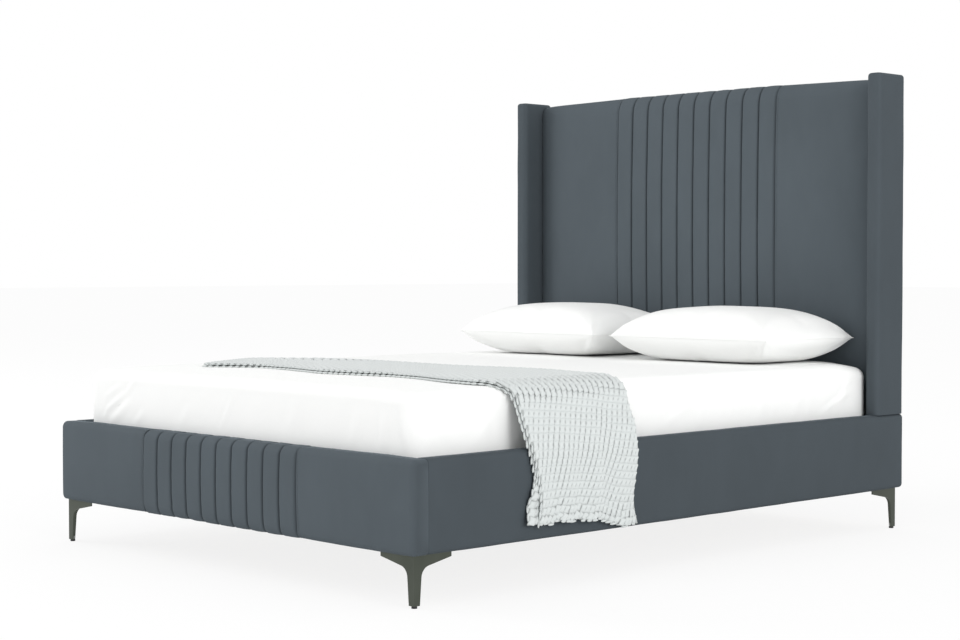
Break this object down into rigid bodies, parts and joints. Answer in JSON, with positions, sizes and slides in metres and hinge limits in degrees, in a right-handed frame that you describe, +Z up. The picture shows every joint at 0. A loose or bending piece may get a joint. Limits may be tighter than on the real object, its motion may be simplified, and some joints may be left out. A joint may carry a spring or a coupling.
{
  "type": "upholstered bed",
  "caption": "Velvet upholstered wing bed with sewn channels, a slatted base on metal legs, and a mattress, pillows and knitted throw.",
  "frame": {"origin": "on the floor under the middle of the frame, at the middle support leg's foot", "axes": "+X across the bed towards its right side seen from the foot, +Y from foot to head, +Z up"},
  "size_m": [1.679, 2.146, 1.478],
  "materials": {
    "velvet": "matte",
    "foam": "matte",
    "board": "matte",
    "timber": "matte",
    "lining": "matte",
    "webbing": "matte",
    "black_steel": "satin",
    "gunmetal": "satin",
    "zinc_steel": "satin",
    "black_plastic": "matte",
    "mattress_cloth": "matte",
    "sheet": "matte",
    "pillowcase": "matte",
    "knit": "matte"
  },
  "bodies": {
    "frame": {"beam_hanger_foot": "zinc_steel", "beam_hanger_head": "zinc_steel", "bracket_bolts": "zinc_steel", "centre_beam": "timber", "corner_brackets": "black_steel", "corner_leg_front_left": "gunmetal", "corner_leg_front_right": "gunmetal", "corner_leg_rear_left": "gunmetal", "corner_leg_rear_right": "gunmetal", "footboard_channel_panel": "velvet", "footboard_core": "board", "footboard_cover_left": "velvet", "footboard_cover_right": "velvet", "footboard_foam": "foam", "frame_screws": "zinc_steel", "headboard_back_cloth": "lining", "headboard_bottom_rail": "timber", "headboard_channel_panel": "velvet", "headboard_cover_left": "velvet", "headboard_cover_right": "velvet", "headboard_foam": "foam", "headboard_middle_rail": "timber", "headboard_panel_board": "board", "headboard_stile_left": "timber", "headboard_stile_right": "timber", "headboard_top_rail": "timber", "leg_end_plugs": "black_plastic", "leg_glide_front_left": "black_plastic", "leg_glide_front_right": "black_plastic", "leg_glide_rear_left": "black_plastic", "leg_glide_rear_right": "black_plastic", "side_rail_left_core": "board", "side_rail_left_cover": "velvet", "side_rail_left_foam": "foam", "side_rail_right_core": "board", "side_rail_right_cover": "velvet", "side_rail_right_foam": "foam", "slat_ledger_left": "timber", "slat_ledger_right": "timber", "slat_webbing": "webbing", "slats": "timber", "support_leg_front": "black_steel", "support_leg_middle": "black_steel", "support_leg_rear": "black_steel", "wing_bolts": "zinc_steel", "wing_left_core": "board", "wing_left_cover": "velvet", "wing_left_foam": "foam", "wing_right_core": "board", "wing_right_cover": "velvet", "wing_right_foam": "foam"},
    "mattress_body": {"mattress": "mattress_cloth", "fitted_sheet": "sheet"},
    "pillow_left_body": {"pillow_left": "pillowcase"},
    "pillow_right_body": {"pillow_right": "pillowcase"},
    "throw_body": {"throw": "knit"},
    "levelling_foot_front_body": {"levelling_foot_front": "black_plastic"},
    "levelling_foot_middle_body": {"levelling_foot_middle": "black_plastic"},
    "levelling_foot_rear_body": {"levelling_foot_rear": "black_plastic"}
  },
  "joints": [
    {"name": "levelling_foot_front_screw", "type": "slide", "parent": "frame", "child": "levelling_foot_front_body", "axis": [0, 0, -1], "range_m": [0, 0.012]},
    {"name": "levelling_foot_middle_screw", "type": "slide", "parent": "frame", "child": "levelling_foot_middle_body", "axis": [0, 0, -1], "range_m": [0, 0.012]},
    {"name": "levelling_foot_rear_screw", "type": "slide", "parent": "frame", "child": "levelling_foot_rear_body", "axis": [0, 0, -1], "range_m": [0, 0.012]},
    {"name": "mattress_lift", "type": "slide", "parent": "frame", "child": "mattress_body", "axis": [0, 0, 1], "range_m": [0, 0.3]},
    {"name": "pillow_left_lift", "type": "slide", "parent": "mattress_body", "child": "pillow_left_body", "axis": [0, 0, 1], "range_m": [0, 0.25]},
    {"name": "pillow_right_lift", "type": "slide", "parent": "mattress_body", "child": "pillow_right_body", "axis": [0, 0, 1], "range_m": [0, 0.25]},
    {"name": "throw_lift", "type": "slide", "parent": "mattress_body", "child": "throw_body", "axis": [0, 0, 1], "range_m": [0, 0.25]}
  ]
}
